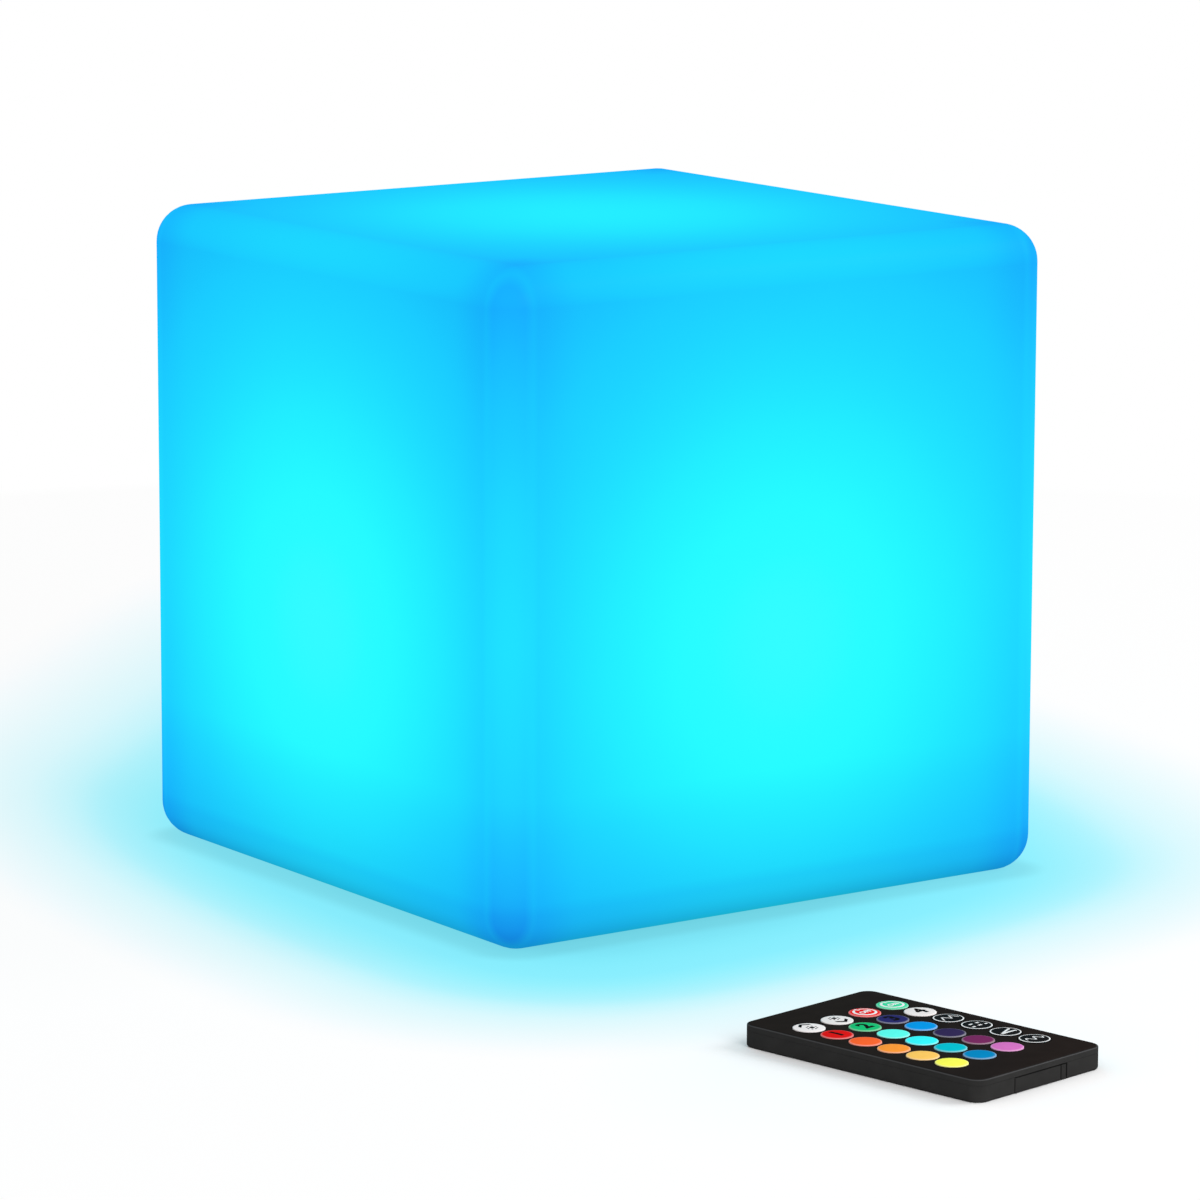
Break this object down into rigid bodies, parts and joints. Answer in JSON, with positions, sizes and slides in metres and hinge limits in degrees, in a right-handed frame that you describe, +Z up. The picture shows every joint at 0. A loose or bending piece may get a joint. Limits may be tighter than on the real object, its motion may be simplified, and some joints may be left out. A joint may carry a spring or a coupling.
{
  "type": "led cube light",
  "caption": "Glowing cube light with soft edges, a round rechargeable light module in its base, and a slim card remote control with coloured keys.",
  "frame": {"origin": "centre of the cube's base, on the floor", "axes": "+Z up; the cube's faces are square to X and Y; the remote lies on the -Y side"},
  "size_m": [0.2, 0.3969, 0.2],
  "materials": {
    "glowing_shell": "translucent satin plastic, lit from inside",
    "white_abs": "fine satin",
    "grey_rubber": "matte",
    "white_rubber": "matte",
    "screw_steel": "zinc plated",
    "socket_metal": "nickel plated",
    "grey_button": "satin",
    "black_moulding": "matte",
    "red_lamp": "gloss",
    "green_board": "solder mask",
    "white_board": "white solder mask",
    "cell_sleeve": "shrink sleeve",
    "red_lead": "matte",
    "black_lead": "matte",
    "white_lead": "matte",
    "lamp_white": "gloss",
    "clear_dome": "clear",
    "black_case": "satin",
    "face_sheet": "satin film",
    "clear_film": "film",
    "emitter_smoke": "tinted gloss",
    "cell_steel": "nickel plated",
    "spring_metal": "phosphor bronze",
    "key_brighter": "gloss",
    "key_dimmer": "gloss",
    "key_off": "gloss",
    "key_on": "gloss",
    "key_red": "gloss",
    "key_green": "gloss",
    "key_blue": "gloss",
    "key_white": "gloss",
    "key_scarlet": "gloss",
    "key_turquoise": "gloss",
    "key_sky": "gloss",
    "key_flash": "gloss",
    "key_orange": "gloss",
    "key_cyan": "gloss",
    "key_indigo": "gloss",
    "key_strobe": "gloss",
    "key_amber": "gloss",
    "key_teal": "gloss",
    "key_plum": "gloss",
    "key_fade": "gloss",
    "key_yellow": "gloss",
    "key_ocean": "gloss",
    "key_orchid": "gloss",
    "key_smooth": "gloss"
  },
  "bodies": {
    "cube": {"cube_shell": "glowing_shell", "module_cover": "white_abs", "cover_gasket": "grey_rubber", "base_screws": "screw_steel", "charge_socket": "socket_metal", "tact_switch": "black_moulding", "status_light": "red_lamp", "module_cup": "white_abs", "control_board": "green_board", "board_chips": "black_moulding", "board_screws": "screw_steel", "battery_cradle": "black_moulding", "battery_cell": "cell_sleeve", "battery_lead_red": "red_lead", "battery_lead_black": "black_lead", "led_leads": "white_lead", "led_board": "white_board", "colour_leds": "lamp_white", "white_leds": "lamp_white", "ir_receiver": "black_moulding", "dome_seal": "grey_rubber", "lens_dome": "clear_dome", "dome_screws": "screw_steel"},
    "remote": {"remote_back_case": "black_case", "remote_top_case": "black_case", "remote_face_sheet": "face_sheet", "remote_contact_sheet": "clear_film", "remote_circuit_board": "green_board", "remote_chips": "black_moulding", "remote_emitter": "emitter_smoke", "coin_cell_contacts": "spring_metal"},
    "coin_tray": {"battery_tray": "black_case", "coin_cell": "cell_steel"},
    "power_button": {"power_button": "grey_button"},
    "port_flap": {"charge_port_plug": "white_rubber"},
    "key_brighter": {"key_brighter": "key_brighter"},
    "key_dimmer": {"key_dimmer": "key_dimmer"},
    "key_off": {"key_off": "key_off"},
    "key_on": {"key_on": "key_on"},
    "key_red": {"key_red": "key_red"},
    "key_green": {"key_green": "key_green"},
    "key_blue": {"key_blue": "key_blue"},
    "key_white": {"key_white": "key_white"},
    "key_scarlet": {"key_scarlet": "key_scarlet"},
    "key_turquoise": {"key_turquoise": "key_turquoise"},
    "key_sky": {"key_sky": "key_sky"},
    "key_flash": {"key_flash": "key_flash"},
    "key_orange": {"key_orange": "key_orange"},
    "key_cyan": {"key_cyan": "key_cyan"},
    "key_indigo": {"key_indigo": "key_indigo"},
    "key_strobe": {"key_strobe": "key_strobe"},
    "key_amber": {"key_amber": "key_amber"},
    "key_teal": {"key_teal": "key_teal"},
    "key_plum": {"key_plum": "key_plum"},
    "key_fade": {"key_fade": "key_fade"},
    "key_yellow": {"key_yellow": "key_yellow"},
    "key_ocean": {"key_ocean": "key_ocean"},
    "key_orchid": {"key_orchid": "key_orchid"},
    "key_smooth": {"key_smooth": "key_smooth"}
  },
  "joints": [
    {"name": "remote_lift", "type": "slide", "parent": "cube", "child": "remote", "axis": [0, 0, 1], "range_m": [0, 0.12]},
    {"name": "coin_tray_slide", "type": "slide", "parent": "remote", "child": "coin_tray", "axis": [0.1874, -0.9823, 0], "range_m": [0, 0.026]},
    {"name": "power_button_press", "type": "slide", "parent": "cube", "child": "power_button", "axis": [0, 0, 1], "range_m": [0, 0.0004], "stiffness_N_per_m": 2000},
    {"name": "port_flap_hinge", "type": "hinge", "parent": "cube", "child": "port_flap", "pos_m": [-0.02, 0, 0.0029], "axis": [0, 1, 0], "range_deg": [0, 95]},
    {"name": "key_brighter_press", "type": "slide", "parent": "remote", "child": "key_brighter", "axis": [0, 0, -1], "range_m": [0, 0.0003], "stiffness_N_per_m": 1500},
    {"name": "key_dimmer_press", "type": "slide", "parent": "remote", "child": "key_dimmer", "axis": [0, 0, -1], "range_m": [0, 0.0003], "stiffness_N_per_m": 1500},
    {"name": "key_off_press", "type": "slide", "parent": "remote", "child": "key_off", "axis": [0, 0, -1], "range_m": [0, 0.0003], "stiffness_N_per_m": 1500},
    {"name": "key_on_press", "type": "slide", "parent": "remote", "child": "key_on", "axis": [0, 0, -1], "range_m": [0, 0.0003], "stiffness_N_per_m": 1500},
    {"name": "key_red_press", "type": "slide", "parent": "remote", "child": "key_red", "axis": [0, 0, -1], "range_m": [0, 0.0003], "stiffness_N_per_m": 1500},
    {"name": "key_green_press", "type": "slide", "parent": "remote", "child": "key_green", "axis": [0, 0, -1], "range_m": [0, 0.0003], "stiffness_N_per_m": 1500},
    {"name": "key_blue_press", "type": "slide", "parent": "remote", "child": "key_blue", "axis": [0, 0, -1], "range_m": [0, 0.0003], "stiffness_N_per_m": 1500},
    {"name": "key_white_press", "type": "slide", "parent": "remote", "child": "key_white", "axis": [0, 0, -1], "range_m": [0, 0.0003], "stiffness_N_per_m": 1500},
    {"name": "key_scarlet_press", "type": "slide", "parent": "remote", "child": "key_scarlet", "axis": [0, 0, -1], "range_m": [0, 0.0003], "stiffness_N_per_m": 1500},
    {"name": "key_turquoise_press", "type": "slide", "parent": "remote", "child": "key_turquoise", "axis": [0, 0, -1], "range_m": [0, 0.0003], "stiffness_N_per_m": 1500},
    {"name": "key_sky_press", "type": "slide", "parent": "remote", "child": "key_sky", "axis": [0, 0, -1], "range_m": [0, 0.0003], "stiffness_N_per_m": 1500},
    {"name": "key_flash_press", "type": "slide", "parent": "remote", "child": "key_flash", "axis": [0, 0, -1], "range_m": [0, 0.0003], "stiffness_N_per_m": 1500},
    {"name": "key_orange_press", "type": "slide", "parent": "remote", "child": "key_orange", "axis": [0, 0, -1], "range_m": [0, 0.0003], "stiffness_N_per_m": 1500},
    {"name": "key_cyan_press", "type": "slide", "parent": "remote", "child": "key_cyan", "axis": [0, 0, -1], "range_m": [0, 0.0003], "stiffness_N_per_m": 1500},
    {"name": "key_indigo_press", "type": "slide", "parent": "remote", "child": "key_indigo", "axis": [0, 0, -1], "range_m": [0, 0.0003], "stiffness_N_per_m": 1500},
    {"name": "key_strobe_press", "type": "slide", "parent": "remote", "child": "key_strobe", "axis": [0, 0, -1], "range_m": [0, 0.0003], "stiffness_N_per_m": 1500},
    {"name": "key_amber_press", "type": "slide", "parent": "remote", "child": "key_amber", "axis": [0, 0, -1], "range_m": [0, 0.0003], "stiffness_N_per_m": 1500},
    {"name": "key_teal_press", "type": "slide", "parent": "remote", "child": "key_teal", "axis": [0, 0, -1], "range_m": [0, 0.0003], "stiffness_N_per_m": 1500},
    {"name": "key_plum_press", "type": "slide", "parent": "remote", "child": "key_plum", "axis": [0, 0, -1], "range_m": [0, 0.0003], "stiffness_N_per_m": 1500},
    {"name": "key_fade_press", "type": "slide", "parent": "remote", "child": "key_fade", "axis": [0, 0, -1], "range_m": [0, 0.0003], "stiffness_N_per_m": 1500},
    {"name": "key_yellow_press", "type": "slide", "parent": "remote", "child": "key_yellow", "axis": [0, 0, -1], "range_m": [0, 0.0003], "stiffness_N_per_m": 1500},
    {"name": "key_ocean_press", "type": "slide", "parent": "remote", "child": "key_ocean", "axis": [0, 0, -1], "range_m": [0, 0.0003], "stiffness_N_per_m": 1500},
    {"name": "key_orchid_press", "type": "slide", "parent": "remote", "child": "key_orchid", "axis": [0, 0, -1], "range_m": [0, 0.0003], "stiffness_N_per_m": 1500},
    {"name": "key_smooth_press", "type": "slide", "parent": "remote", "child": "key_smooth", "axis": [0, 0, -1], "range_m": [0, 0.0003], "stiffness_N_per_m": 1500}
  ]
}
